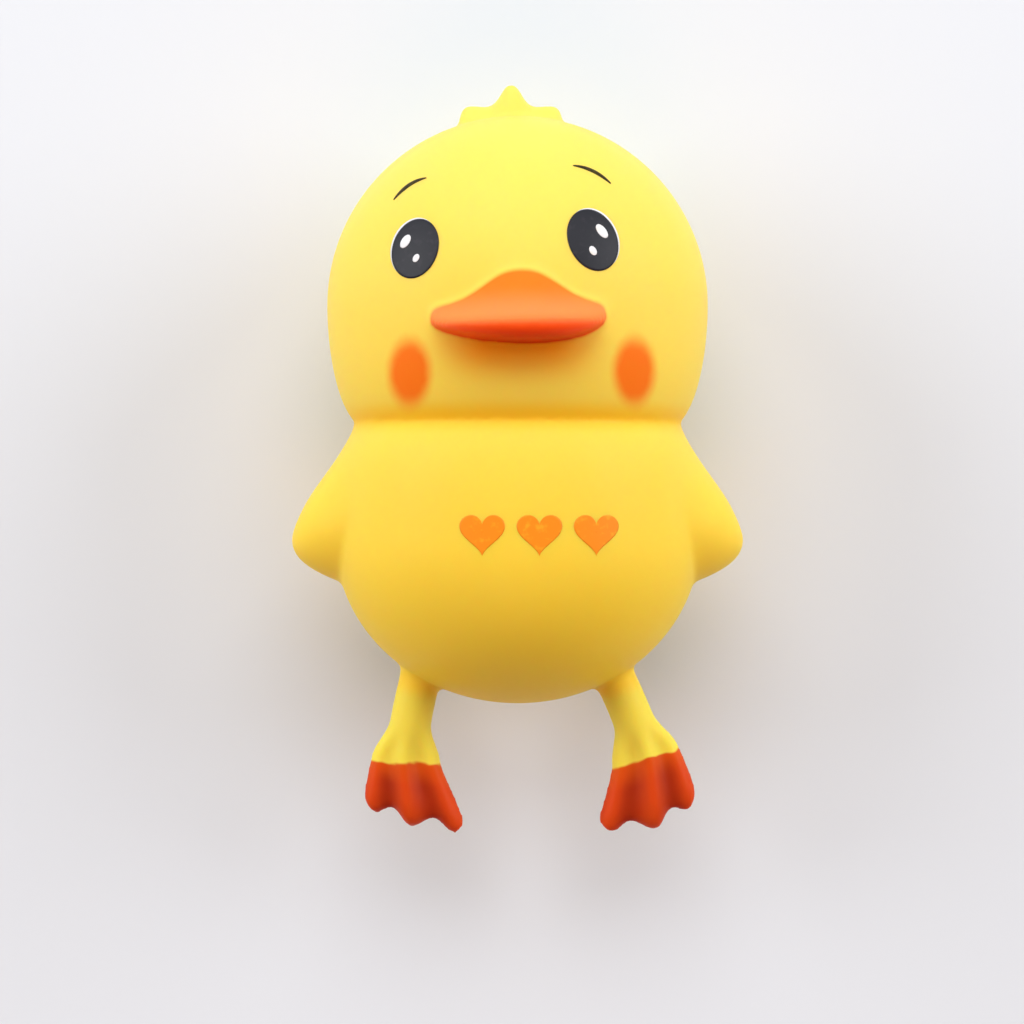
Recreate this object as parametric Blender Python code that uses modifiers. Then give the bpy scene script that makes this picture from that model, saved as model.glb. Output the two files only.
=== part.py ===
"""Soft squeeze duck, moulded in one piece and modelled as one closed solid.

It lies on its back with its face up: +X is to the right of the face, +Y runs from the toes
to the crest and +Z comes out of the beak. The skin is blocked in as overlapping lofted
forms, which are remeshed into one skin, smoothed where they meet, and cut flat where the
soft back rests. All lengths are in metres, and forms are placed from the middle of the neck
crease, on the toy's long axis. A value that ends in CURVE is a power, and the further it is
from 1, the squarer or the fuller is the outline that it bends.
"""

import math

import bmesh
import bpy
from mathutils import Matrix, Vector

# Head, seen from the front
HEAD_WIDTH = 0.0660
HEAD_DEPTH = 0.0590
HEAD_CENTRE = 0.0207
CROWN_RISE = 0.0327

# Body below the crease
BODY_WIDTH = 0.0632
BODY_DEPTH = 0.0568
BODY_CENTRE = -0.0199
BELLY_DROP = 0.0283
CHEST_CURVE = 3.0

# Neck crease, drawn in from the narrower of head and body
NECK_INSET = 0.0023
CREASE_DEPTH = 0.0015
CREASE_REACH_UP = 0.0026
CREASE_REACH_DOWN = 0.0022

# Wings, lofted outwards from inside the body
WING_STANDOUT = 0.0076
WING_TIP_HEIGHT = -0.0196
WING_REACH = 0.0101
WING_RISE = 0.0174
WING_FALL = 0.0082
WING_THICKNESS = 0.0230
WING_ROOT = 0.0140
WING_TOP_CURVE = 0.74
WING_UNDER_CURVE = 0.41

# Legs and webbed feet, each drawn straight down from its hip and then bowed and splayed
HIP_SPACING = 0.0338
LEFT_LEG = {"side": -1, "splay": math.radians(5.5), "slant": 0.0013}
RIGHT_LEG = {"side": 1, "splay": math.radians(17.0), "slant": 0.0003}
LEG_BOW = 0.0011
LEG_WIDTH = 0.0072
LEG_THICKNESS = 0.0072
LEG_ROOT = 0.0060
LEG_FLARE = 0.0078
FOOT_START = 0.0148
FOOT_START_WIDTH = 0.0122
FOOT_LENGTH = 0.0102
FOOT_WIDTH = 0.0190
FOOT_THICKNESS = 0.0066
FOOT_SHIFT = 0.0015
MIDDLE_TOE = 0.0016
TIP_WIDTH_SHARE = 0.55
TOE_CURVE = 6.0

# Webs, as shares of the half foot from its outer to its inner edge
TOE_GAPS = (-0.58, 0.25)
GAP_REACH = 0.27
VALLEY_REACH = 0.34
WEB_DEPTH = 0.0027
WEB_THICKNESS = 0.0034

# Tuft on the crown: a low wall with a peak
CREST_LEFT = -0.0106
CREST_RIGHT = 0.0083
CREST_THICKNESS = 0.0062
CREST_ROOT = 0.0080
WALL_RISE = 0.0017
END_RISE = 0.0010
PEAK_PLACE = -0.0011
PEAK_WIDTH = 0.0046
PEAK_RISE = 0.0042
PEAK_CURVE = 2.4
WALL_END_CURVE = 12.0
WALL_CORNER_CURVE = 0.4

# Beak, lofted from corner to corner
BEAK_WIDTH = 0.0286
BEAK_STANDOUT = 0.0105
BEAK_OFFSET = 0.0001
BEAK_TURN = math.radians(2.0)
BEAK_CORNER_DROP = 0.0028
BEAK_RIM_DROP = 0.0053
HUMP_RISE = 0.0095
HUMP_WIDTH = 0.0178
PLATE_RISE = 0.0020
LIP_DEPTH = 0.0031
BEAK_ROOT_SINK = 0.0095
BEAK_CORNER_SINK = 0.0002
RIM_CURVE = 0.7
HUMP_CURVE = 2.8
HUMP_SLOPE_CURVE = 1.5
PLATE_CURVE = 0.4
LIP_CURVE = 2.5

# How far the back sinks in where the soft skin rests
REST_SINK = 0.0008

# Where the wing flows into the shoulder without a seam
SHOULDER_TOP = 0.0010
SHOULDER_FADE = 0.0040
SHOULDER_LOW = -0.0190
SHOULDER_FULL = -0.0120
SHOULDER_SHIFT = 0.0025
SHOULDER_REACH = 0.0080
SHOULDER_CORE = 0.35

# Fineness of the skin
PROFILE_STEPS = 24
AROUND_STEPS = 72
LOFT_SIDES = 48
LEG_SIDES = 96
VOXEL = 0.0008
SMOOTHING_ROUNDS = 7
SMOOTHING_STRENGTH = 0.5
SHOULDER_ROUNDS = 120
SKIN_FACES = 11000
LEVEL_BAND = 0.00003
MERGE_DISTANCE = 0.000001

SKIN_YELLOW = (0.93, 0.60, 0.035, 1.0)
PAINT_ORANGE = (0.78, 0.064, 0.008, 1.0)
RUBBER_ROUGHNESS = 0.5

head_half = HEAD_WIDTH / 2
body_half = BODY_WIDTH / 2
neck_half = min(head_half, body_half) - NECK_INSET
chin_reach = HEAD_CENTRE / math.sqrt(1 - (neck_half / head_half) ** 2)
chest_reach = -BODY_CENTRE / (1 - (neck_half / body_half) ** CHEST_CURVE) ** (1 / CHEST_CURVE)
crown = HEAD_CENTRE + CROWN_RISE
face_front = HEAD_DEPTH / 2
rest_depth = BODY_DEPTH / 2 - REST_SINK
hip_height = BODY_CENTRE - BELLY_DROP * math.sqrt(1 - (HIP_SPACING / 2 / body_half) ** 2)


def smooth_step(start, end, value):
    """0 up to start, 1 from end, and an even S between them."""
    share = min(max((value - start) / (end - start), 0.0), 1.0)
    return share * share * (3.0 - 2.0 * share)


def ring_turns(sides):
    return [2 * math.pi * step / sides for step in range(sides)]


def loft(form, sections):
    """Closed skin through equal rings of points, each ring extruded from the one before it."""
    ring = bmesh.ops.create_circle(form, segments=len(sections[0]), radius=1.0)["verts"]
    first, edges = list(ring), list(form.edges)
    for vert, point in zip(ring, sections[0]):
        vert.co = point
    for section in sections[1:]:
        made = bmesh.ops.extrude_edge_only(form, edges=edges)["geom"]
        edges = [item for item in made if isinstance(item, bmesh.types.BMEdge)]
        edges = [edge for edge in edges if not set(edge.verts) & set(ring)]
        ring = [next(edge.other_vert(vert) for edge in vert.link_edges if edge.other_vert(vert) in made)
                for vert in ring]
        for vert, point in zip(ring, section):
            vert.co = point
    form.faces.new(first)
    form.faces.new(ring)
    bmesh.ops.remove_doubles(form, verts=form.verts, dist=MERGE_DISTANCE)


def join(skin, form):
    """Adds a finished form, its faces turned outwards, to the blocked-in skin."""
    bmesh.ops.recalc_face_normals(form, faces=form.faces)
    mesh = bpy.data.meshes.new("form")
    form.to_mesh(mesh)
    form.free()
    skin.from_mesh(mesh)
    bpy.data.meshes.remove(mesh)


def head_and_body_profile():
    """Half outline from crown to belly: two rounded lobes that meet in the neck crease."""
    outline = []
    for step in range(PROFILE_STEPS + 1):
        turn = math.pi / 2 * step / PROFILE_STEPS
        outline.append((head_half * math.sin(turn), HEAD_CENTRE + CROWN_RISE * math.cos(turn)))
    for step in range(1, PROFILE_STEPS + 1):
        height = HEAD_CENTRE * (1 - step / PROFILE_STEPS)
        lobe = head_half * math.sqrt(1 - ((HEAD_CENTRE - height) / chin_reach) ** 2)
        outline.append((lobe - CREASE_DEPTH * math.exp(-height / CREASE_REACH_UP), height))
    for step in range(1, PROFILE_STEPS + 1):
        height = BODY_CENTRE * step / PROFILE_STEPS
        rise = (height - BODY_CENTRE) / chest_reach
        lobe = body_half * (1 - rise ** CHEST_CURVE) ** (1 / CHEST_CURVE)
        outline.append((lobe - CREASE_DEPTH * math.exp(height / CREASE_REACH_DOWN), height))
    for step in range(1, PROFILE_STEPS + 1):
        turn = math.pi / 2 * step / PROFILE_STEPS
        outline.append((body_half * math.cos(turn), BODY_CENTRE - BELLY_DROP * math.sin(turn)))
    return outline


def add_head_and_body(skin):
    """The profile spun round the long axis, then flattened to the depths of head and body."""
    form = bmesh.new()
    points = [form.verts.new((x, y, 0.0)) for x, y in head_and_body_profile()]
    edges = [form.edges.new(pair) for pair in zip(points, points[1:])]
    bmesh.ops.spin(
        form, geom=points + edges, cent=(0, 0, 0), axis=(0, 1, 0),
        angle=2 * math.pi, steps=AROUND_STEPS, use_merge=True,
    )
    bmesh.ops.remove_doubles(form, verts=form.verts, dist=MERGE_DISTANCE)
    for vert in form.verts:
        share = smooth_step(BODY_CENTRE, HEAD_CENTRE, vert.co.y)
        vert.co.z *= (1 - share) * BODY_DEPTH / BODY_WIDTH + share * HEAD_DEPTH / HEAD_WIDTH
    join(skin, form)


def add_wing(skin, side):
    """Oval sections from inside the body out to the rounded tip."""
    tip = body_half + WING_STANDOUT
    sections = []
    for step in range(PROFILE_STEPS + 1):
        inward = WING_ROOT * (1 - math.sin(math.pi / 2 * step / PROFILE_STEPS))
        share = inward / WING_REACH
        top = WING_TIP_HEIGHT + WING_RISE * share ** WING_TOP_CURVE
        bottom = WING_TIP_HEIGHT - WING_FALL * share ** WING_UNDER_CURVE
        half_thickness = WING_THICKNESS / 2 * math.sqrt(share)
        sections.append([
            Vector((
                side * (tip - inward),
                (top + bottom) / 2 + (top - bottom) / 2 * math.cos(turn),
                half_thickness * math.sin(turn),
            ))
            for turn in ring_turns(LOFT_SIDES)
        ])
    form = bmesh.new()
    loft(form, sections)
    join(skin, form)


def gap_distance(across, reach):
    """0 in the middle of a web, 1 at reach from it."""
    return min(min(abs(across - gap) for gap in TOE_GAPS) / reach, 1.0)


def add_leg(skin, side, splay, slant):
    """Round leg that flares at the ankle into a flat foot with three ridged toes."""
    steps = 2 * PROFILE_STEPS
    reach = FOOT_START + FOOT_LENGTH
    sections = []
    for step in range(steps + 1):
        down = -LEG_ROOT + (reach + LEG_ROOT) * math.sin(math.pi / 2 * step / steps)
        flare = smooth_step(LEG_FLARE, FOOT_START, down)
        foot = min(max((down - FOOT_START) / FOOT_LENGTH, 0.0), 1.0)
        close = math.sqrt(1 - foot ** TOE_CURVE)
        half_width = LEG_WIDTH / 2 + flare * (FOOT_START_WIDTH - LEG_WIDTH) / 2
        half_width += foot * (FOOT_WIDTH - FOOT_START_WIDTH) / 2
        half_width *= TIP_WIDTH_SHARE + (1 - TIP_WIDTH_SHARE) * close
        bow = LEG_BOW * math.sin(math.pi * max(down / reach, 0.0))
        thickness = LEG_THICKNESS + flare * (FOOT_THICKNESS - LEG_THICKNESS)
        section = []
        for turn in ring_turns(LEG_SIDES):
            across = math.cos(turn)
            notch = WEB_DEPTH * math.sqrt(1 - gap_distance(across, GAP_REACH) ** 2)
            valley = 0.5 + 0.5 * math.cos(math.pi * gap_distance(across, VALLEY_REACH))
            depth = thickness + (WEB_THICKNESS - thickness) * valley * flare
            further = slant * across + MIDDLE_TOE * (1 - across ** 2) - notch
            section.append(Vector((
                -side * (half_width * across + FOOT_SHIFT * foot - bow),
                -(down + foot ** 2 * further),
                depth / 2 * close * math.sin(turn),
            )))
        sections.append(section)
    form = bmesh.new()
    loft(form, sections)
    hip = Vector((side * HIP_SPACING / 2, hip_height, 0.0))
    place = Matrix.Translation(hip) @ Matrix.Rotation(side * splay, 4, "Z")
    bmesh.ops.transform(form, matrix=place, verts=form.verts)
    join(skin, form)


def add_crest(skin):
    """Tall ovals from the left end of the wall to the right, under its top line."""
    steps = 2 * PROFILE_STEPS
    middle, half = (CREST_LEFT + CREST_RIGHT) / 2, (CREST_RIGHT - CREST_LEFT) / 2
    root = crown - CREST_ROOT
    sections = []
    for step in range(steps + 1):
        reach = -math.cos(math.pi * step / steps)
        x = middle + half * reach
        bulge = (1 - min(abs(reach), 1.0) ** WALL_END_CURVE) ** WALL_CORNER_CURVE
        peak = PEAK_RISE * math.exp(-((abs(x - PEAK_PLACE) / (PEAK_WIDTH / 2)) ** PEAK_CURVE))
        top = crown + WALL_RISE + END_RISE * reach ** 2 + peak
        height = (top - root) / 2 * bulge
        sections.append([
            Vector((
                x,
                root + height * (1 + math.cos(turn)),
                CREST_THICKNESS / 2 * bulge * math.sin(turn),
            ))
            for turn in ring_turns(LOFT_SIDES)
        ])
    form = bmesh.new()
    loft(form, sections)
    join(skin, form)


def face_depth(x, y):
    """How far the front of the head stands out here, without the beak."""
    lift = (y - HEAD_CENTRE) / (CROWN_RISE if y > HEAD_CENTRE else chin_reach)
    return face_front * math.sqrt(max(1 - lift ** 2 - (x / head_half) ** 2, 0.0))


def beak_section(across):
    """Points of one section, up over the hump to the rim and back under along the lip."""
    moves = LOFT_SIDES // 2
    bulge = math.sqrt(max(1 - across ** 2, 0.0))
    corner_depth = face_depth(BEAK_WIDTH / 2, HEAD_CENTRE - BEAK_CORNER_DROP) - BEAK_CORNER_SINK
    root_depth = face_front - BEAK_ROOT_SINK
    rim_drop = BEAK_CORNER_DROP + (BEAK_RIM_DROP - BEAK_CORNER_DROP) * bulge ** RIM_CURVE
    rim_height = HEAD_CENTRE - rim_drop
    rim_depth = corner_depth + (face_front + BEAK_STANDOUT - corner_depth) * bulge
    hump = math.exp(-((abs(across) * BEAK_WIDTH / HUMP_WIDTH) ** HUMP_CURVE))
    rise = PLATE_RISE * bulge ** PLATE_CURVE + (HUMP_RISE - PLATE_RISE) * hump
    face = face_front - (face_front - corner_depth) * across ** 2
    section = []
    for upper in (True, False):
        for move in range(moves):
            share = move / moves if upper else 1 - move / moves
            depth = root_depth + (rim_depth - root_depth) * math.sin(math.pi / 2 * share)
            ahead = min(max((depth - face) / max(rim_depth - face, MERGE_DISTANCE), 0.0), 1.0)
            if upper:
                height = rim_height + rise * (1 - ahead) ** HUMP_SLOPE_CURVE
            else:
                height = rim_height - LIP_DEPTH * bulge * math.sqrt(1 - ahead ** LIP_CURVE)
            section.append(Vector((BEAK_WIDTH / 2 * across, height, depth)))
    return section


def add_beak(skin):
    """Bill lofted across the face, then turned a little and moved to its place."""
    steps = LOFT_SIDES
    form = bmesh.new()
    loft(form, [beak_section(-math.cos(math.pi * step / steps)) for step in range(steps + 1)])
    middle = Vector((0.0, HEAD_CENTRE - BEAK_RIM_DROP, 0.0))
    turn = Matrix.Rotation(BEAK_TURN, 3, "Z")
    bmesh.ops.rotate(form, verts=form.verts, cent=middle, matrix=turn)
    bmesh.ops.translate(form, verts=form.verts, vec=(BEAK_OFFSET, 0.0, 0.0))
    join(skin, form)


def blocked_in_skin():
    skin = bmesh.new()
    add_head_and_body(skin)
    for leg in (LEFT_LEG, RIGHT_LEG):
        add_wing(skin, leg["side"])
        add_leg(skin, **leg)
    add_crest(skin)
    add_beak(skin)
    return skin


def helper_object(mesh):
    helper = bpy.data.objects.new("helper", mesh)
    bpy.context.scene.collection.objects.link(helper)
    return helper


def evaluated_mesh(helper):
    """The helper's mesh with its modifiers applied; the helper itself is removed."""
    old_mesh = helper.data
    graph = bpy.context.evaluated_depsgraph_get()
    mesh = bpy.data.meshes.new_from_object(helper.evaluated_get(graph))
    bpy.data.objects.remove(helper)
    bpy.data.meshes.remove(old_mesh)
    return mesh


def add_smoothing(helper, rounds):
    soften = helper.modifiers.new("soften", "SMOOTH")
    soften.factor = SMOOTHING_STRENGTH
    soften.iterations = rounds
    return soften


def one_skin(blocked):
    """Remeshes the overlapping forms into one skin and softens the seams between them."""
    mesh = bpy.data.meshes.new("blocked_in")
    blocked.to_mesh(mesh)
    blocked.free()
    helper = helper_object(mesh)
    remesh = helper.modifiers.new("one_skin", "REMESH")
    remesh.mode = "VOXEL"
    remesh.voxel_size = VOXEL
    add_smoothing(helper, SMOOTHING_ROUNDS)
    return evaluated_mesh(helper)


def shoulder_weight(place):
    """1 on the seam above the wing, 0 away from it and along the wing's tucked lower edge."""
    above = smooth_step(SHOULDER_LOW, SHOULDER_FULL, place.y)
    below = 1 - smooth_step(SHOULDER_TOP - SHOULDER_FADE, SHOULDER_TOP, place.y)
    beside = abs(abs(place.x) - body_half + SHOULDER_SHIFT) / SHOULDER_REACH
    return above * below * (1 - smooth_step(SHOULDER_CORE, 1.0, beside))


def blend_shoulders(mesh):
    """Smooths the seam between body and wing away, only where the weights say so."""
    helper = helper_object(mesh)
    group = helper.vertex_groups.new(name="shoulders")
    for vert in mesh.vertices:
        weight = shoulder_weight(vert.co)
        if weight > 0:
            group.add([vert.index], weight, "REPLACE")
    add_smoothing(helper, SHOULDER_ROUNDS).vertex_group = group.name
    return evaluated_mesh(helper)


def flatten_back(mesh):
    """Cuts the skin where its back rests, and closes each cut with one flat face."""
    form = bmesh.new()
    form.from_mesh(mesh)
    cut = bmesh.ops.bisect_plane(
        form, geom=form.verts[:] + form.edges[:] + form.faces[:], dist=MERGE_DISTANCE / 10,
        plane_co=(0, 0, -rest_depth), plane_no=(0, 0, -1), clear_outer=True,
    )
    rims = [item for item in cut["geom_cut"] if isinstance(item, bmesh.types.BMEdge)]
    bmesh.ops.holes_fill(form, edges=rims, sides=0)
    bmesh.ops.recalc_face_normals(form, faces=form.faces)
    bmesh.ops.triangulate(form, faces=form.faces)
    form.to_mesh(mesh)
    form.free()


def thin_faces(mesh):
    """Fewer and larger faces where the skin is calm, with the resting patches kept level."""
    helper = helper_object(mesh)
    thin = helper.modifiers.new("thin", "DECIMATE")
    thin.ratio = SKIN_FACES / len(mesh.polygons)
    thinned = evaluated_mesh(helper)
    for vert in thinned.vertices:
        if vert.co.z < LEVEL_BAND - rest_depth:
            vert.co.z = -rest_depth
    return thinned


def set_on_origin(mesh):
    """Puts the middle of the toy's box over the origin, with its back on the floor."""
    low = [min(vert.co[axis] for vert in mesh.vertices) for axis in range(3)]
    high = [max(vert.co[axis] for vert in mesh.vertices) for axis in range(3)]
    middle = Vector(((low[0] + high[0]) / 2, (low[1] + high[1]) / 2, low[2]))
    mesh.transform(Matrix.Translation(-middle))
    return middle


def plain_material(name, colour):
    material = bpy.data.materials.new(name)
    material.use_nodes = True
    shader = material.node_tree.nodes["Principled BSDF"]
    shader.inputs["Base Color"].default_value = colour
    shader.inputs["Roughness"].default_value = RUBBER_ROUGHNESS
    material.diffuse_color = colour
    return material


def colour_faces(mesh, middle):
    """Orange on the beak and on the feet, as far as the spray reaches."""
    mesh.materials.append(plain_material("yellow_rubber", SKIN_YELLOW))
    mesh.materials.append(plain_material("orange_paint", PAINT_ORANGE))
    lip_height = HEAD_CENTRE - BEAK_RIM_DROP - LIP_DEPTH
    for face in mesh.polygons:
        place = face.center + middle
        on_foot = place.y < hip_height - FOOT_START
        in_front = place.z > face_depth(place.x, place.y) + REST_SINK
        on_beak = in_front and lip_height < place.y < HEAD_CENTRE + HUMP_RISE
        face.material_index = 1 if on_foot or on_beak else 0


def build_duck():
    for obj in list(bpy.data.objects):
        bpy.data.objects.remove(obj)
    mesh = blend_shoulders(one_skin(blocked_in_skin()))
    flatten_back(mesh)
    mesh = thin_faces(mesh)
    mesh.name = "duck_toy"
    middle = set_on_origin(mesh)
    colour_faces(mesh, middle)
    mesh.shade_smooth()
    duck = bpy.data.objects.new("duck_toy", mesh)
    toy = bpy.data.collections.new("duck_stress_toy")
    bpy.context.scene.collection.children.link(toy)
    toy.objects.link(duck)
    print("duck", tuple(round(1000 * side, 2) for side in duck.dimensions), "mm", len(mesh.polygons))


build_duck()
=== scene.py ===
# %% [markdown]
# # A soft squeeze duck
#
# The toy is one moulding in soft rubber, 13 cm long. It can't stand on its soft legs, so it
# lies on its back and the camera looks straight down at its face. This lesson builds the skin
# as one smooth mesh, sprays the orange, prints the eyes on it, and lights it. We start by
# loading the finished construction model, which fixes the size and the place.

# %% Load the construction model
import math

import bmesh
import bpy
from mathutils import Matrix, Vector
from mathutils.bvhtree import BVHTree


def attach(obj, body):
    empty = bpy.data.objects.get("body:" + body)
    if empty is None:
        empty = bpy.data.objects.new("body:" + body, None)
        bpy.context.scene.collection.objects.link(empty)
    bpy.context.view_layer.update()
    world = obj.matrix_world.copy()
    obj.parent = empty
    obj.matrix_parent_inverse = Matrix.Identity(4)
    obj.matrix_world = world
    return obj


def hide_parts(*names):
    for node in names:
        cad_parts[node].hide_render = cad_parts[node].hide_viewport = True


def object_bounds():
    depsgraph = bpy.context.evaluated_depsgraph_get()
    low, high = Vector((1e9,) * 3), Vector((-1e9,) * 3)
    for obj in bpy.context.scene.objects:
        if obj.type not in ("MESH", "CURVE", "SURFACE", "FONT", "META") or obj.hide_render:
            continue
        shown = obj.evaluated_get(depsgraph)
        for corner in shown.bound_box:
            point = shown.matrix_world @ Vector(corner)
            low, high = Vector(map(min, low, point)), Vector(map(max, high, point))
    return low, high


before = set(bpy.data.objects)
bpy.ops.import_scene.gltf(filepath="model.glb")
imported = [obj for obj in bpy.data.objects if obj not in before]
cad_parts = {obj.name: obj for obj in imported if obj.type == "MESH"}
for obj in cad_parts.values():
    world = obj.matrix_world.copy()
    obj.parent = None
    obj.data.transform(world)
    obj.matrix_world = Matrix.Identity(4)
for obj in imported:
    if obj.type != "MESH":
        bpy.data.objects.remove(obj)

cad_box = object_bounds()
print("construction box", [[round(1000 * value, 2) for value in corner] for corner in cad_box])

# %% [markdown]
# ## Sizes
#
# A designer measures the toy once and names what they measure. Everything is in metres, from
# the middle of the neck crease: x to the right of the face, y up to the crest, z out of the
# face. The whole skin moves onto the construction model's place at the end.

# %% Name the sizes
HEAD_WIDTH, HEAD_DEPTH = 0.0660, 0.0590
HEAD_CENTRE, CROWN_RISE = 0.0207, 0.0327
BODY_WIDTH, BODY_DEPTH = 0.0632, 0.0568
BODY_CENTRE, BELLY_DROP = -0.0199, 0.0283
NECK_INSET = 0.0023
CREASE_DEPTH, CREASE_REACH_UP, CREASE_REACH_DOWN = 0.0015, 0.0026, 0.0022
CHEST_CURVE = 3.0
REST_SINK = 0.0008

head_half, body_half = HEAD_WIDTH / 2, BODY_WIDTH / 2
neck_half = min(head_half, body_half) - NECK_INSET
chin_reach = HEAD_CENTRE / math.sqrt(1 - (neck_half / head_half) ** 2)
chest_reach = -BODY_CENTRE / (1 - (neck_half / body_half) ** CHEST_CURVE) ** (1 / CHEST_CURVE)
print("neck is", round(2000 * neck_half, 1), "mm wide")

# %% [markdown]
# ## Helpers for the forms
#
# Most of the forms are lofts: a ring of points that is extruded again and again, each new ring
# taking its own shape. Drawing a ring and extruding its edges keeps the quads in tidy rows. The
# last helper drops each closed form into one pile, faces outwards, ready to be fused.

# %% Loft and pile
MERGE_DISTANCE = 1e-6

skin_pile = bmesh.new()


def smooth_step(start, end, value):
    share = min(max((value - start) / (end - start), 0.0), 1.0)
    return share * share * (3.0 - 2.0 * share)


def ring_turns(sides):
    return [2 * math.pi * step / sides for step in range(sides)]


def loft(form, sections):
    ring = bmesh.ops.create_circle(form, segments=len(sections[0]), radius=1.0)["verts"]
    first, edges = list(ring), list(form.edges)
    for vert, point in zip(ring, sections[0]):
        vert.co = point
    for section in sections[1:]:
        made = bmesh.ops.extrude_edge_only(form, edges=edges)["geom"]
        edges = [item for item in made if isinstance(item, bmesh.types.BMEdge)]
        edges = [edge for edge in edges if not set(edge.verts) & set(ring)]
        ring = [
            next(edge.other_vert(vert) for edge in vert.link_edges if edge.other_vert(vert) in made)
            for vert in ring
        ]
        for vert, point in zip(ring, section):
            vert.co = point
    form.faces.new(first)
    form.faces.new(ring)


def drop_on_pile(form):
    bmesh.ops.remove_doubles(form, verts=form.verts, dist=MERGE_DISTANCE)
    bmesh.ops.recalc_face_normals(form, faces=form.faces)
    mesh = bpy.data.meshes.new("form")
    form.to_mesh(mesh)
    form.free()
    skin_pile.from_mesh(mesh)
    bpy.data.meshes.remove(mesh)


print("the pile starts with", len(skin_pile.verts), "points")

# %% [markdown]
# ## Head and body
#
# Head and body are two rounded lobes that meet in a sharp neck crease, and from above each
# section is a slightly flattened circle. So the half outline is drawn as one line, crown to
# belly, spun round the long axis, and then pressed flatter in depth. Near the crease an
# exponential pulls the line in, which gives the tight fold under the chin.

# %% Spin the head and body
OUTLINE_STEPS, AROUND_STEPS = 48, 160


def trunk_outline():
    line = []
    for step in range(OUTLINE_STEPS + 1):
        turn = math.pi / 2 * step / OUTLINE_STEPS
        line.append((head_half * math.sin(turn), HEAD_CENTRE + CROWN_RISE * math.cos(turn)))
    for step in range(1, OUTLINE_STEPS + 1):
        y = HEAD_CENTRE * (1 - step / OUTLINE_STEPS)
        lobe = head_half * math.sqrt(1 - ((HEAD_CENTRE - y) / chin_reach) ** 2)
        line.append((lobe - CREASE_DEPTH * math.exp(-y / CREASE_REACH_UP), y))
    for step in range(1, OUTLINE_STEPS + 1):
        y = BODY_CENTRE * step / OUTLINE_STEPS
        below_chest = ((y - BODY_CENTRE) / chest_reach) ** CHEST_CURVE
        lobe = body_half * (1 - below_chest) ** (1 / CHEST_CURVE)
        line.append((lobe - CREASE_DEPTH * math.exp(y / CREASE_REACH_DOWN), y))
    for step in range(1, OUTLINE_STEPS + 1):
        turn = math.pi / 2 * step / OUTLINE_STEPS
        line.append((body_half * math.cos(turn), BODY_CENTRE - BELLY_DROP * math.sin(turn)))
    return line


def depth_share(y):
    share = smooth_step(BODY_CENTRE, HEAD_CENTRE, y)
    return (1 - share) * BODY_DEPTH / BODY_WIDTH + share * HEAD_DEPTH / HEAD_WIDTH


def spin_trunk():
    form = bmesh.new()
    points = [form.verts.new((x, y, 0.0)) for x, y in trunk_outline()]
    edges = [form.edges.new(pair) for pair in zip(points, points[1:])]
    bmesh.ops.spin(
        form, geom=points + edges, cent=(0, 0, 0), axis=(0, 1, 0),
        angle=2 * math.pi, steps=AROUND_STEPS, use_merge=True,
    )
    for vert in form.verts:
        vert.co.z *= depth_share(vert.co.y)
    drop_on_pile(form)


spin_trunk()
print("with the trunk it has", len(skin_pile.verts), "points")

# %% [markdown]
# ## Wings
#
# Each wing is a thick rounded corner that grows out of the shoulder. Its top edge runs in a
# straight slope to the tip and its lower edge tucks back under. Sections are ovals set along x,
# from inside the body outwards, and two power curves give the heights of the two edges.

# %% Loft the wings
WING_STANDOUT, WING_TIP_HEIGHT = 0.0076, -0.0196
WING_REACH, WING_RISE, WING_FALL = 0.0101, 0.0174, 0.0082
WING_THICKNESS, WING_ROOT = 0.0230, 0.0140
WING_TOP_CURVE, WING_UNDER_CURVE, WING_THICKNESS_CURVE = 0.74, 0.41, 0.5
WING_SIDES = 64

wing_tip = body_half + WING_STANDOUT


def loft_wing(side):
    sections = []
    for step in range(OUTLINE_STEPS + 1):
        inward = WING_ROOT * (1 - math.sin(math.pi / 2 * step / OUTLINE_STEPS))
        share = inward / WING_REACH
        top = WING_TIP_HEIGHT + WING_RISE * share ** WING_TOP_CURVE
        bottom = WING_TIP_HEIGHT - WING_FALL * share ** WING_UNDER_CURVE
        half_thickness = WING_THICKNESS / 2 * share ** WING_THICKNESS_CURVE
        sections.append([
            Vector((
                side * (wing_tip - inward),
                (top + bottom) / 2 + (top - bottom) / 2 * math.cos(turn),
                half_thickness * math.sin(turn),
            ))
            for turn in ring_turns(WING_SIDES)
        ])
    form = bmesh.new()
    loft(form, sections)
    drop_on_pile(form)


loft_wing(-1)
loft_wing(1)
print("with the wings it has", len(skin_pile.verts), "points")

# %% [markdown]
# ## Legs and webbed feet
#
# Leg and foot are one soft paddle. It is drawn hanging straight down from its hip: a round
# stalk, a flare at the ankle, then a flat foot where three narrow toes stand ahead of the wide
# webs between them, with a little more web beyond the outer toes. Each leg is then bowed and
# turned outwards, and each has its own turn, its own slant across the toes and its own middle
# toe.

# %% Loft the legs
HIP_SPACING = 0.0338
LEGS = {
    -1: {"splay": math.radians(5.5), "slant": 0.0013, "middle_toe": 0.0010},
    1: {"splay": math.radians(17.0), "slant": -0.0002, "middle_toe": 0.0023},
}
LEG_BOW, LEG_WIDTH, LEG_THICKNESS, LEG_ROOT = 0.0011, 0.0072, 0.0072, 0.0060
LEG_FLARE, FOOT_START, FOOT_START_WIDTH = 0.0078, 0.0148, 0.0122
FOOT_LENGTH, FOOT_WIDTH, FOOT_THICKNESS = 0.0102, 0.0190, 0.0066
FOOT_SHIFT, TOES = 0.0015, (-1.40, -0.88, -0.09, 0.86, 1.36)
WEB_DEPTH, WEB_THICKNESS = 0.0022, 0.0034
TIP_WIDTH_SHARE, TOE_CURVE = 0.86, 6.0
LEG_STEPS, LEG_SIDES = 96, 128

hip_height = BODY_CENTRE - BELLY_DROP * math.sqrt(1 - (HIP_SPACING / 2 / body_half) ** 2)


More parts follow.
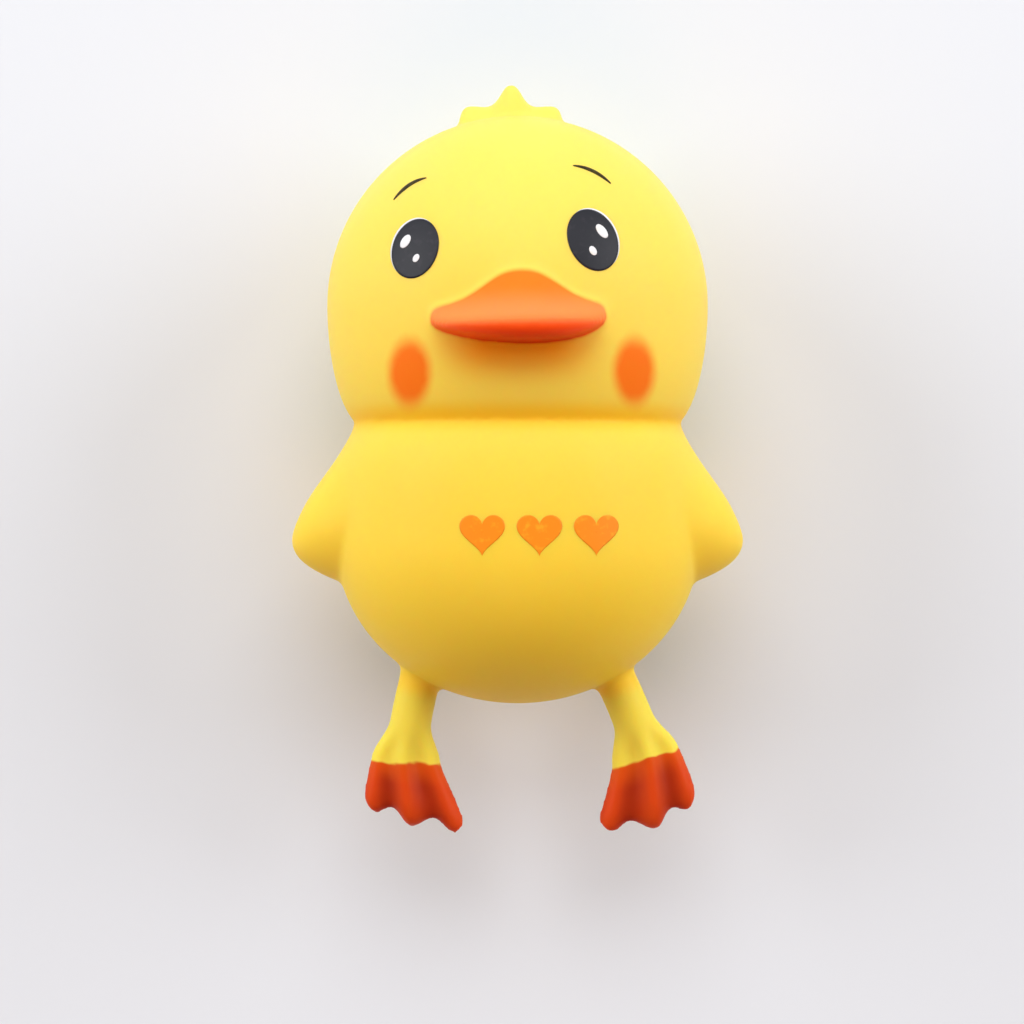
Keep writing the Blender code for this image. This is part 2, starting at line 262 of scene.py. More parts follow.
def valley(across):
    """1 in the middle of a web, 0 on a toe; the outermost two stand beyond the foot's edges."""
    for outer, inner in zip(TOES, TOES[1:]):
        if outer < across < inner:
            return math.sin(math.pi * (across - outer) / (inner - outer)) ** 2
    return 0.0


def foot_share(down):
    """0 until the foot starts, 1 at its tip."""
    return min(max((down - FOOT_START) / FOOT_LENGTH, 0.0), 1.0)


def foot_half_width(down):
    flare = smooth_step(LEG_FLARE, FOOT_START, down)
    half = LEG_WIDTH / 2 + flare * (FOOT_START_WIDTH - LEG_WIDTH) / 2
    return half + foot_share(down) * (FOOT_WIDTH - FOOT_START_WIDTH) / 2


def foot_middle(down):
    """How far the middle of leg and foot lies inwards of a straight line from the hip."""
    bow = math.sin(math.pi * min(max(down / (FOOT_START + FOOT_LENGTH), 0.0), 1.0))
    return FOOT_SHIFT * foot_share(down) - LEG_BOW * bow


def leg_place(side):
    hip = Vector((side * HIP_SPACING / 2, hip_height, 0.0))
    return Matrix.Translation(hip) @ Matrix.Rotation(side * LEGS[side]["splay"], 4, "Z")


def leg_section(side, down):
    """One slice of the leg: an oval on the stalk, ridges and webs across the foot."""
    slant, middle_toe = LEGS[side]["slant"], LEGS[side]["middle_toe"]
    flare = smooth_step(LEG_FLARE, FOOT_START, down)
    foot = foot_share(down)
    close = math.sqrt(1 - foot ** TOE_CURVE)
    half_width = foot_half_width(down) * (TIP_WIDTH_SHARE + (1 - TIP_WIDTH_SHARE) * close)
    thickness = LEG_THICKNESS + flare * (FOOT_THICKNESS - LEG_THICKNESS)
    section = []
    for turn in ring_turns(LEG_SIDES):
        across = math.cos(turn)
        web = valley(across)
        depth = thickness + (WEB_THICKNESS - thickness) * web * flare
        reach = slant * across + middle_toe * (1 - across ** 2) - WEB_DEPTH * web
        section.append(Vector((
            -side * (half_width * across + foot_middle(down)),
            -(down + foot ** 2 * reach),
            depth / 2 * close * math.sin(turn),
        )))
    return section


def loft_leg(side):
    sections = []
    for step in range(LEG_STEPS + 1):
        along = math.sin(math.pi / 2 * step / LEG_STEPS)
        down = -LEG_ROOT + (FOOT_START + FOOT_LENGTH + LEG_ROOT) * along
        sections.append(leg_section(side, down))
    form = bmesh.new()
    loft(form, sections)
    bmesh.ops.transform(form, matrix=leg_place(side), verts=form.verts)
    drop_on_pile(form)


for side in LEGS:
    loft_leg(side)
print("hips", round(1000 * hip_height, 1), "mm from the neck crease")

# %% [markdown]
# ## Crest
#
# The tuft on the crown is a low wall with a pointed peak in the middle and ends that rise a
# little. It is lofted from end to end: each section is a tall oval whose top follows the wall.

# %% Loft the crest
CREST_ENDS, WALL_RISE, END_RISE = (-0.0106, 0.0083), 0.0017, 0.0010
PEAK_PLACE, PEAK_WIDTH, PEAK_RISE = -0.0011, 0.0046, 0.0042
CREST_THICKNESS, CREST_ROOT = 0.0062, 0.0080
PEAK_CURVE, WALL_END_CURVE, WALL_CORNER_CURVE = 2.4, 12.0, 0.4
CREST_STEPS, CREST_SIDES = 96, 64

crown = HEAD_CENTRE + CROWN_RISE


def loft_crest():
    sections = []
    middle, half = sum(CREST_ENDS) / 2, (CREST_ENDS[1] - CREST_ENDS[0]) / 2
    for step in range(CREST_STEPS + 1):
        reach = -math.cos(math.pi * step / CREST_STEPS)
        bulge = (1 - min(abs(reach), 1.0) ** WALL_END_CURVE) ** WALL_CORNER_CURVE
        x = middle + half * reach
        peak = PEAK_RISE * math.exp(-((abs(x - PEAK_PLACE) / (PEAK_WIDTH / 2)) ** PEAK_CURVE))
        top = crown + WALL_RISE + END_RISE * reach ** 2 + peak
        root = crown - CREST_ROOT
        height = (top - root) / 2 * bulge
        sections.append([
            Vector((
                x,
                root + height * (1 + math.cos(turn)),
                CREST_THICKNESS / 2 * bulge * math.sin(turn),
            ))
            for turn in ring_turns(CREST_SIDES)
        ])
    form = bmesh.new()
    loft(form, sections)
    drop_on_pile(form)


loft_crest()
print("crest stands", round(1000 * (WALL_RISE + PEAK_RISE), 1), "mm over the crown")

# %% [markdown]
# ## Beak
#
# The bill is wide and flat with a hump where it meets the face, blunt corners, a nearly level
# rim, and a full lip below that is fuller on the right. Sections stand across it from one
# corner to the other. In each, the upper line falls from hump to rim in a hollow curve, and the
# lower line swings back under.

# %% Loft the beak
BEAK_WIDTH, BEAK_STANDOUT, BEAK_OFFSET = 0.0286, 0.0105, 0.0001
BEAK_TURN = math.radians(1.3)
BEAK_CORNER_DROP, BEAK_RIM_DROP = 0.0040, 0.0054
HUMP_RISE, HUMP_WIDTH, HUMP_SHIFT = 0.0093, 0.0154, 0.0006
PLATE_RISE, LIP_DEPTH = 0.0038, 0.0029
BEAK_ROOT_SINK, BEAK_CORNER_SINK = 0.0095, 0.0002
RIM_CURVE, HUMP_CURVE, HUMP_SLOPE_CURVE, PLATE_CURVE = 0.45, 2.5, 1.5, 0.13
LIP_CURVE, LIP_END_CURVE, LIP_LEAN = 8.0, 1.3, 0.22
BEAK_STEPS, BEAK_MOVES = 72, 32
LEAST_STANDOUT = 1e-6


def face_depth(x, y):
    """How far the front of the head stands out here, before the beak is on."""
    lift = (y - HEAD_CENTRE) / (CROWN_RISE if y > HEAD_CENTRE else chin_reach)
    return HEAD_DEPTH / 2 * math.sqrt(max(1 - lift ** 2 - (x / head_half) ** 2, 0.0))


def beak_rim(across):
    """Height of the rim line, from one corner at -1 to the other at 1."""
    bulge = math.sqrt(max(1 - across ** 2, 0.0))
    return HEAD_CENTRE - BEAK_CORNER_DROP - (BEAK_RIM_DROP - BEAK_CORNER_DROP) * bulge ** RIM_CURVE


beak_half = BEAK_WIDTH / 2
corner_z = face_depth(beak_half, HEAD_CENTRE - BEAK_CORNER_DROP) - BEAK_CORNER_SINK
tip_z, root_z = HEAD_DEPTH / 2 + BEAK_STANDOUT, HEAD_DEPTH / 2 - BEAK_ROOT_SINK


def beak_section(across):
    """One slice: from the root over the top to the rim, and back to the root below."""
    bulge = math.sqrt(max(1 - across ** 2, 0.0))
    rim_y = beak_rim(across)
    rim_z = corner_z + (tip_z - corner_z) * bulge
    beside_hump = abs(beak_half * across - HUMP_SHIFT) / (HUMP_WIDTH / 2)
    hump = math.exp(-(beside_hump ** HUMP_CURVE))
    rise = PLATE_RISE * bulge ** PLATE_CURVE + (HUMP_RISE - PLATE_RISE) * hump
    skin_z = HEAD_DEPTH / 2 - (HEAD_DEPTH / 2 - corner_z) * across ** 2
    lip = LIP_DEPTH * bulge ** LIP_END_CURVE * (1 + LIP_LEAN * across)
    section = []
    for upper in (True, False):
        for move in range(BEAK_MOVES):
            share = move / BEAK_MOVES if upper else 1 - move / BEAK_MOVES
            z = root_z + (rim_z - root_z) * math.sin(math.pi / 2 * share)
            ahead = min(max((z - skin_z) / max(rim_z - skin_z, LEAST_STANDOUT), 0.0), 1.0)
            if upper:
                y = rim_y + rise * (1 - ahead) ** HUMP_SLOPE_CURVE
            else:
                y = rim_y - lip * math.sqrt(1 - ahead ** LIP_CURVE)
            section.append(Vector((beak_half * across, y, z)))
    return section


def loft_beak():
    stations = [-math.cos(math.pi * step / BEAK_STEPS) for step in range(BEAK_STEPS + 1)]
    form = bmesh.new()
    loft(form, [beak_section(across) for across in stations])
    middle = Vector((0.0, HEAD_CENTRE - BEAK_RIM_DROP, 0.0))
    turn = Matrix.Rotation(BEAK_TURN, 3, "Z")
    bmesh.ops.rotate(form, verts=form.verts, cent=middle, matrix=turn)
    bmesh.ops.translate(form, verts=form.verts, vec=(BEAK_OFFSET, 0.0, 0.0))
    drop_on_pile(form)


loft_beak()
print("the whole pile has", len(skin_pile.verts), "points")

# %% [markdown]
# ## One skin
#
# The real toy comes out of its mould in one piece, so the pile is fused: a voxel remesh keeps
# only the outer surface, and a few rounds of smoothing give the soft radii that rubber has in
# its corners. The shoulders have no seam at all on the real one, so a vertex group marks them
# and only they are smoothed for many more rounds.

# %% Fuse the pile
VOXEL, SMOOTHING_ROUNDS, SMOOTHING_SHARE = 0.00060, 5, 0.5
SHOULDER_ROUNDS, SHOULDER_REACH = 260, 0.0080
SHOULDER_SHIFT, SHOULDER_CORE = 0.0025, 0.35
SHOULDER_LOW, SHOULDER_FULL = -0.0190, -0.0120
SHOULDER_HIGH, SHOULDER_TOP = -0.0030, 0.0010


def evaluated_copy(obj):
    graph = bpy.context.evaluated_depsgraph_get()
    return bpy.data.meshes.new_from_object(obj.evaluated_get(graph))


def helper_object(mesh):
    helper = bpy.data.objects.new("helper", mesh)
    bpy.context.scene.collection.objects.link(helper)
    return helper


def add_smoothing(helper, rounds):
    soften = helper.modifiers.new("soften", "SMOOTH")
    soften.factor = SMOOTHING_SHARE
    soften.iterations = rounds
    return soften


def fuse_pile():
    mesh = bpy.data.meshes.new("pile")
    skin_pile.to_mesh(mesh)
    skin_pile.free()
    helper = helper_object(mesh)
    remesh = helper.modifiers.new("one_skin", "REMESH")
    remesh.mode = "VOXEL"
    remesh.voxel_size = VOXEL
    add_smoothing(helper, SMOOTHING_ROUNDS)
    fused = evaluated_copy(helper)
    bpy.data.objects.remove(helper)
    return fused


def shoulder_weight(place):
    """1 on the seam over the wing, 0 away from it and on the tucked lower edge."""
    along = smooth_step(SHOULDER_LOW, SHOULDER_FULL, place.y)
    along *= 1 - smooth_step(SHOULDER_HIGH, SHOULDER_TOP, place.y)
    beside = abs(abs(place.x) - body_half + SHOULDER_SHIFT) / SHOULDER_REACH
    return along * (1 - smooth_step(SHOULDER_CORE, 1.0, beside))


def blend_shoulders(mesh):
    helper = helper_object(mesh)
    group = helper.vertex_groups.new(name="shoulders")
    for vert in mesh.vertices:
        weight = shoulder_weight(vert.co)
        if weight > 0:
            group.add([vert.index], weight, "REPLACE")
    add_smoothing(helper, SHOULDER_ROUNDS).vertex_group = group.name
    blended = evaluated_copy(helper)
    bpy.data.objects.remove(helper)
    return blended


skin_mesh = blend_shoulders(fuse_pile())
print("fused", len(skin_mesh.polygons), "faces")

# %% [markdown]
# ## Lying on its back
#
# Where it rests, the soft back goes flat. The skin is cut a little above its lowest points, the
# cuts are filled, and the whole mesh is set on the floor with its crest where the construction
# model has it. The object itself stays at the origin, with its place in its mesh.

# %% Cut the back flat and set the skin down
CUT_TOLERANCE = 1e-7

rest_depth = BODY_DEPTH / 2 - REST_SINK


def flatten_back(mesh):
    form = bmesh.new()
    form.from_mesh(mesh)
    cut = bmesh.ops.bisect_plane(
        form, geom=form.verts[:] + form.edges[:] + form.faces[:], dist=CUT_TOLERANCE,
        plane_co=(0, 0, -rest_depth), plane_no=(0, 0, -1), clear_outer=True,
    )
    rims = [item for item in cut["geom_cut"] if isinstance(item, bmesh.types.BMEdge)]
    bmesh.ops.holes_fill(form, edges=rims, sides=0)
    bmesh.ops.recalc_face_normals(form, faces=form.faces)
    form.to_mesh(mesh)
    form.free()


flatten_back(skin_mesh)
crest_tip = max(vert.co.y for vert in skin_mesh.vertices)
shift = Vector((0.0, cad_box[1][1] - crest_tip, rest_depth))
print("crest tip", round(1000 * crest_tip, 2), "shift", [round(1000 * value, 2) for value in shift])

# %% [markdown]
# ## Where the spray landed
#
# Beak and feet are sprayed orange through a stencil. The spray follows the forms, so its line
# is worked out here for each vertex, while the mesh still lies where the forms were drawn: how
# far inside the spray it lies, how deep between two toes, and how far below the rim of the
# beak. Two more values carry painted light: how close a vertex is under the lip, where an
# orange shade is painted, and how much of it is leg, which takes a lemon painted a little darker
# for shade. The material reads them all as attributes, and makes the soft or ragged edges from
# them.

# %% Store the spray distances
BEAK_PAINT_EDGE, BEAK_SPRAY_MARGIN, BEAK_SPRAY_REACH = 0.0003, 0.002, 0.014
FAR_OUTSIDE = -0.01
# Reach and width of the painted shade and orange bounce light under the lip.
UNDER_LIP_SHADE_REACH, UNDER_LIP_SHADE_HALF_WIDTH, UNDER_LIP_SHADE_CORE = 0.0078, 0.0160, 0.3
LEG_FROM, LEG_FULL = 0.0008, 0.0040
LEG_EDGE, LEG_BEYOND = 1.15, 1.60
ATTRIBUTES = ("foot_spray", "toe_groove", "leg_colour_share", "beak_spray", "below_rim", "under_lip_shade")


def on_leg(place):
    side = 1 if place.x > 0 else -1
    local = leg_place(side).inverted() @ place
    return -side * local.x, -local.y


def leg_values(place):
    """How far inside the spray of a foot, how deep between toes, and how much leg colour."""
    inwards, down = on_leg(place)
    across = (inwards - foot_middle(down)) / foot_half_width(down)
    spray = down - FOOT_START
    groove = valley(across) if spray > 0 else 0.0
    leg = smooth_step(LEG_FROM, LEG_FULL, down)
    return spray, groove, leg * (1 - smooth_step(LEG_EDGE, LEG_BEYOND, abs(across)))


def beak_values(place):
    """How far inside the spray of the beak, and how far below its rim."""
    beside = abs(place.x) >= beak_half + BEAK_SPRAY_MARGIN
    beyond = abs(place.y - HEAD_CENTRE) >= BEAK_SPRAY_REACH
    if place.z <= 0 or beside or beyond:
        return FAR_OUTSIDE, 0.0
    spray = place.z - face_depth(place.x, place.y) - BEAK_PAINT_EDGE
    rim = beak_rim(place.x / beak_half if abs(place.x) < beak_half else 1.0)
    rim += place.x * math.tan(BEAK_TURN) - place.y
    return spray, rim


# Painted shade and orange bounce light under the lip: 1 close under it.
def under_lip_shade(place):
    """1 close under the lip, 0 a little further down and beside the beak."""
    if place.z <= 0 or not 0 < place.y < HEAD_CENTRE - BEAK_CORNER_DROP:
        return 0.0
    across = min(abs(place.x) / UNDER_LIP_SHADE_HALF_WIDTH, 1.0)
    lip_bottom = HEAD_CENTRE - BEAK_RIM_DROP - LIP_DEPTH * math.sqrt(1 - across ** 2)
    shade_share = 1 - smooth_step(0, UNDER_LIP_SHADE_REACH, lip_bottom - place.y)
    return shade_share * (1 - smooth_step(UNDER_LIP_SHADE_CORE, 1.0, across))


def spray_values(place):
    return (*leg_values(place), *beak_values(place), under_lip_shade(place))


def store_attribute(mesh, name, values):
    attribute = mesh.attributes.new(name, "FLOAT", "POINT")
    attribute.data.foreach_set("value", values)


rows = [spray_values(vert.co) for vert in skin_mesh.vertices]
for name, values in zip(ATTRIBUTES, zip(*rows)):
    store_attribute(skin_mesh, name, values)
sprayed = sum(1 for row in rows if row[0] > 0 or row[3] > 0)
print("sprayed vertices", sprayed, "of", len(rows))

skin_mesh.transform(Matrix.Translation(shift))
skin_mesh.shade_smooth()

# %% [markdown]
# ## Node helpers
#
# Materials here are built in code, so a few helpers keep them readable: each adds one node,
# plugs in numbers or links, and hands back the output.

# %% Node helpers
NOISE_MIDDLE = 0.5


def plug(tree, socket, value):
    if isinstance(value, bpy.types.NodeSocket):
        tree.links.new(value, socket)
    else:
        socket.default_value = value


def math_node(tree, operation, *values):
    node = tree.nodes.new("ShaderNodeMath")
    node.operation = operation
    for socket, value in zip(node.inputs, values):
        plug(tree, socket, value)
    return node.outputs[0]


def fade(tree, value, start, end):
    """0 at start and 1 at end, with an even S between them."""
    node = tree.nodes.new("ShaderNodeMapRange")
    node.interpolation_type = "SMOOTHSTEP"
    plug(tree, node.inputs["Value"], value)
    plug(tree, node.inputs["From Min"], start)
    plug(tree, node.inputs["From Max"], end)
    return node.outputs["Result"]


def mix_colours(tree, factor, first, second):
    """A Mix node has sockets for each kind of value; 6 and 7 are its colours, 2 their mix."""
    node = tree.nodes.new("ShaderNodeMix")
    node.data_type = "RGBA"
    plug(tree, node.inputs[0], factor)
    plug(tree, node.inputs[6], first)
    plug(tree, node.inputs[7], second)
    return node.outputs[2]


def noise(tree, place, scale, detail):
    node = tree.nodes.new("ShaderNodeTexNoise")
    plug(tree, node.inputs["Vector"], place)
    plug(tree, node.inputs["Scale"], scale)
    node.inputs["Detail"].default_value = detail
    return node.outputs["Fac"]


def swing(tree, place, scale, detail):
    """Noise that swings to both sides of 0."""
    return math_node(tree, "SUBTRACT", noise(tree, place, scale, detail), NOISE_MIDDLE)


def object_place(tree):
    return tree.nodes.new("ShaderNodeTexCoord").outputs["Object"]


def stored(tree, name):
    node = tree.nodes.new("ShaderNodeAttribute")
    node.attribute_name = name
    return node.outputs["Fac"]


def new_group(name, inputs, outputs):
    group = bpy.data.node_groups.new(name, "ShaderNodeTree")
    for label, kind, value in inputs:
        socket = group.interface.new_socket(label, in_out="INPUT", socket_type=kind)
        socket.default_value = value
    for label in outputs:
        group.interface.new_socket(label, in_out="OUTPUT", socket_type="NodeSocketFloat")
    return group, group.nodes.new("NodeGroupInput"), group.nodes.new("NodeGroupOutput")


def place_group(tree, group, **values):
    node = tree.nodes.new("ShaderNodeGroup")
    node.node_tree = group
    for label, value in values.items():
        plug(tree, node.inputs[label.replace("_", " ")], value)
    return node.outputs


print("noise swings by", NOISE_MIDDLE, "to both sides")

# %% [markdown]
# ## Soft rubber, shared by skin and ink
#
# Everything on this toy is rubber, or ink that has taken on the grain of the rubber below it.
# One group makes that grain: broad clouds in the tone, a fine pebble height for the bump, and
# a roughness that wanders a little, so that no highlight is quite even. Each noise is named
# with its scale and its detail.

# %% Soft rubber group
CLOUDS, CLOUD_RANGE = (38.0, 3.0), (0.3, 0.7)
PEBBLES, RUBBED_SPOTS = (1500.0, 2.0), (140.0, 4.0)


def build_soft_rubber():
    group, given, result = new_group(
        "soft_rubber",
        [("Place", "NodeSocketVector", (0, 0, 0)), ("Roughness", "NodeSocketFloat", 0.45),
         ("Wander", "NodeSocketFloat", 0.08)],
        ["Tone", "Roughness", "Height"],
    )
    place = given.outputs["Place"]
    tone = fade(group, noise(group, place, *CLOUDS), *CLOUD_RANGE)
    rubbed = swing(group, place, *RUBBED_SPOTS)
    wander = math_node(group, "MULTIPLY", rubbed, given.outputs["Wander"])
    rough = math_node(group, "ADD", given.outputs["Roughness"], wander)
    group.links.new(tone, result.inputs["Tone"])
    group.links.new(rough, result.inputs["Roughness"])
    group.links.new(noise(group, place, *PEBBLES), result.inputs["Height"])
    return group


soft_rubber = build_soft_rubber()
print(soft_rubber.name, "has", len(soft_rubber.nodes), "nodes")

# %% [markdown]
# ## Sprayed spots as masks
#
# The cheeks are sprayed ovals, without an edge that could be modelled. A node group tells how
# far inside an oval each place lies: 1 in its middle, 0 outside, and a wide soft rim between.

# %% Sprayed oval group
def build_sprayed_oval():
    group, given, result = new_group(
        "sprayed_oval",
        [("Place", "NodeSocketVector", (0, 0, 0)), ("Centre", "NodeSocketVector", (0, 0, 0)),
         ("Half Width", "NodeSocketFloat", 0.003), ("Half Height", "NodeSocketFloat", 0.005),
         ("Softness", "NodeSocketFloat", 0.3)],
        ["Mask"],
    )
    offset = group.nodes.new("ShaderNodeVectorMath")
    offset.operation = "SUBTRACT"
    group.links.new(given.outputs["Place"], offset.inputs[0])
    group.links.new(given.outputs["Centre"], offset.inputs[1])
    split = group.nodes.new("ShaderNodeSeparateXYZ")
    group.links.new(offset.outputs[0], split.inputs[0])
    across = math_node(group, "DIVIDE", split.outputs["X"], given.outputs["Half Width"])
    along = math_node(group, "DIVIDE", split.outputs["Y"], given.outputs["Half Height"])
    across_squared = math_node(group, "POWER", across, 2.0)
    along_squared = math_node(group, "POWER", along, 2.0)
    reach = math_node(group, "SQRT", math_node(group, "ADD", across_squared, along_squared))
    outer = math_node(group, "ADD", 1.0, given.outputs["Softness"])
    inner = math_node(group, "SUBTRACT", 1.0, given.outputs["Softness"])
    front = math_node(group, "GREATER_THAN", split.outputs["Z"], 0.0)
    mask = math_node(group, "MULTIPLY", fade(group, reach, outer, inner), front)
    group.links.new(mask, result.inputs["Mask"])
    return group


sprayed_oval = build_sprayed_oval()
print(sprayed_oval.name, "has", len(sprayed_oval.nodes), "nodes")

# %% [markdown]
# ## Colours of the skin
#
# The yellow is moulded in. Towards the crown it is painted paler, as a sheen where the light
# falls, and towards the belly it is painted golden, as shade. More tones are painted light: a
# warmer shade in the neck crease, an orange shade and bounce light under the lip, and legs that
# keep a paler lemon, painted a little darker for the shade below the body. Over the yellow lies
# the spray, which is thin orange on the hump of the beak and red on its lip. On the slope of the
# beak the orange is painted paler to salmon as a sheen, the lip is painted darker low down as
# shade, and the feet are painted darkest between the toes as shade in the grooves.

# %% Skin colours
# Painted light: the crown yellow is paler as a sheen, the belly yellow golden as shade.
CROWN_SHEEN_YELLOW, BELLY_SHADE_YELLOW = (0.95, 0.710, 0.130, 1.0), (0.95, 0.620, 0.036, 1.0)
BELLY_SHADE_BELOW, CROWN_SHEEN_ABOVE = BODY_WIDTH * 0.75, HEAD_WIDTH * 0.8
CLOUD_YELLOW, CLOUD_SHARE = (0.95, 0.68, 0.07, 1.0), 0.25
# Painted shade and orange bounce light under the lip.
UNDER_LIP_SHADE = (1.0, 0.33, 0.001, 1.0)
# Lemon of the legs, painted a little darker for the shade below the body.
LEG_LEMON_SHADED = (0.84, 0.69, 0.075, 1.0)
# Painted shade: a warmer yellow along the neck crease.
CREASE_SHADE_YELLOW, CREASE_SHADE_SHARE = (0.97, 0.54, 0.006, 1.0), 0.75
CREASE_SHADE_REACH, CREASE_SHADE_RISE = 0.0032, 0.0008
CHEEK_ORANGE, CHEEK_SHARE = (0.97, 0.165, 0.001, 1.0), 0.95
# The plate colour is the spray orange paled to salmon as a painted sheen.
HUMP_ORANGE, PLATE_SALMON_SHEEN = (0.90, 0.20, 0.010, 1.0), (0.95, 0.255, 0.065, 1.0)
# The low lip colour is painted shade on the underside of the lip.
LIP_RED, LIP_LOW_SHADE = (0.98, 0.078, 0.002, 1.0), (0.70, 0.034, 0.001, 1.0)
FOOT_ORANGE, FOOT_RIDGE = (0.66, 0.078, 0.002, 1.0), (0.63, 0.060, 0.004, 1.0)
# Painted shade between the toes.
FOOT_GROOVE_SHADE = (0.40, 0.024, 0.001, 1.0)


def yellow_with_painted_light(tree, place, tone):
    split = tree.nodes.new("ShaderNodeSeparateXYZ")
    tree.links.new(place, split.inputs[0])
    height = split.outputs["Y"]
    # Painted light: paler towards the crown as a sheen, golden towards the belly as shade.
    up = fade(tree, height, shift.y - BELLY_SHADE_BELOW, shift.y + CROWN_SHEEN_ABOVE)
    colour = mix_colours(tree, up, BELLY_SHADE_YELLOW, CROWN_SHEEN_YELLOW)
    clouds = math_node(tree, "MULTIPLY", tone, CLOUD_SHARE)
    colour = mix_colours(tree, clouds, colour, CLOUD_YELLOW)
    # Painted shade and orange bounce light under the lip.
    colour = mix_colours(tree, stored(tree, "under_lip_shade"), colour, UNDER_LIP_SHADE)
    # Painted shade: a warmer yellow in a band along the neck crease.
    above_crease_shade = math_node(tree, "SUBTRACT", height, shift.y + CREASE_SHADE_RISE)
    near_crease_shade = fade(tree, math_node(tree, "ABSOLUTE", above_crease_shade), CREASE_SHADE_REACH, 0.0)
    crease_shade = math_node(tree, "MULTIPLY", near_crease_shade, CREASE_SHADE_SHARE)
    colour = mix_colours(tree, crease_shade, colour, CREASE_SHADE_YELLOW)
    # The legs keep a paler lemon, painted a little darker for the shade below the body.
    return mix_colours(tree, stored(tree, "leg_colour_share"), colour, LEG_LEMON_SHADED)


print("crown", CROWN_SHEEN_YELLOW[:3], "belly", BELLY_SHADE_YELLOW[:3])

# %% [markdown]
# ## Spray on cheeks, beak and feet
#
# Each spray is a mask over the yellow. The cheeks use the oval group with a rim that noise
# makes uneven. Beak and feet use the distances that the skin carries: a narrow fade at the
# stencil's edge, wide fades from tone to tone, and noise that makes the foot's line ragged. All
# fades are in metres.

# %% Spray masks
CHEEKS = ((-0.0178, 0.0078), (0.0192, 0.0081))
CHEEK_HALF_WIDTH, CHEEK_HALF_HEIGHT = 0.0034, 0.0052
CHEEK_GRAIN, CHEEK_BLUR, CHEEK_SOFTNESS = (500.0, 2.0), 0.25, 0.36
PLATE_SHEEN_FADE, LIP_FADE, LIP_LOW_SHADE_FADE = (-0.0065, -0.0015), (-0.0015, 0.0016), (0.0012, 0.0032)
BEAK_TOP_FADE, BEAK_EDGE_FADE = (-0.0109, -0.0087), (-0.0002, 0.0006)
FOOT_GRAIN, FOOT_RAGGED = (220.0, 2.0), 0.0020
FOOT_TONE_FADE, FOOT_EDGE_FADE = (0.0002, 0.0045), (-0.0002, 0.0004)


def place_on_toy(x, y):
    return (x + shift.x, y + shift.y, rest_depth)


def spray_cheeks(tree, place, colour):
    blur = math_node(tree, "MULTIPLY", swing(tree, place, *CHEEK_GRAIN), CHEEK_BLUR)
    for x, y in CHEEKS:
        mask = place_group(
            tree, sprayed_oval, Place=place, Centre=place_on_toy(x, y),
            Half_Width=CHEEK_HALF_WIDTH, Half_Height=CHEEK_HALF_HEIGHT,
            Softness=math_node(tree, "ADD", CHEEK_SOFTNESS, blur),
        )["Mask"]
        mask = math_node(tree, "MULTIPLY", mask, CHEEK_SHARE)
        colour = mix_colours(tree, mask, colour, CHEEK_ORANGE)
    return colour


def spray_beak_and_painted_light(tree, colour):
    spray, below = stored(tree, "beak_spray"), stored(tree, "below_rim")
    # Painted sheen: towards the rim the orange is paled to salmon.
    beak = mix_colours(tree, fade(tree, below, *PLATE_SHEEN_FADE), HUMP_ORANGE, PLATE_SALMON_SHEEN)
    beak = mix_colours(tree, fade(tree, below, *LIP_FADE), beak, LIP_RED)
    # Painted shade: the lip is darker low down.
    beak = mix_colours(tree, fade(tree, below, *LIP_LOW_SHADE_FADE), beak, LIP_LOW_SHADE)
    top_edge = fade(tree, below, *BEAK_TOP_FADE)
    mask = math_node(tree, "MULTIPLY", fade(tree, spray, *BEAK_EDGE_FADE), top_edge)
    return mix_colours(tree, mask, colour, beak)


def spray_feet_and_groove_shade(tree, place, colour):
    ragged = math_node(tree, "MULTIPLY", swing(tree, place, *FOOT_GRAIN), FOOT_RAGGED)
    line = math_node(tree, "ADD", stored(tree, "foot_spray"), ragged)
    # Painted shade: darker between the toes, in the grooves.
    foot = mix_colours(tree, stored(tree, "toe_groove"), FOOT_RIDGE, FOOT_GROOVE_SHADE)
    foot = mix_colours(tree, fade(tree, line, *FOOT_TONE_FADE), FOOT_ORANGE, foot)
    return mix_colours(tree, fade(tree, line, *FOOT_EDGE_FADE), colour, foot)


print("sprayed cheeks", len(CHEEKS))

# %% [markdown]
# ## Skin material
#
# It is all one material, because it is one skin. The rubber is matt with a fine pebble, and a
# little scattering below the surface keeps the shaded side warm, as soft rubber does. The skin
# replaces the plain construction solid, which is hidden.

# %% Skin material
SKIN_ROUGHNESS, SKIN_WANDER, SKIN_BUMP, SKIN_SPECULAR = 0.50, 0.12, 0.25, 0.14
PEBBLE_HEIGHT = 0.00005
SCATTER_SHARE, SCATTER_SCALE, SCATTER_RADIUS = 0.45, 0.0050, (1.0, 0.42, 0.10)


def new_material(name):
    material = bpy.data.materials.new(name)
    material.use_nodes = True
    return material, material.node_tree, object_place(material.node_tree)


def rubber_surface(tree, colour, rubber, bump_strength, specular):
    shader = tree.nodes["Principled BSDF"]
    plug(tree, shader.inputs["Base Color"], colour)
    plug(tree, shader.inputs["Roughness"], rubber["Roughness"])
    bump = tree.nodes.new("ShaderNodeBump")
    bump.inputs["Strength"].default_value = bump_strength
    bump.inputs["Distance"].default_value = PEBBLE_HEIGHT
    plug(tree, bump.inputs["Height"], rubber["Height"])
    plug(tree, shader.inputs["Normal"], bump.outputs["Normal"])
    shader.inputs["Specular IOR Level"].default_value = specular
    return shader


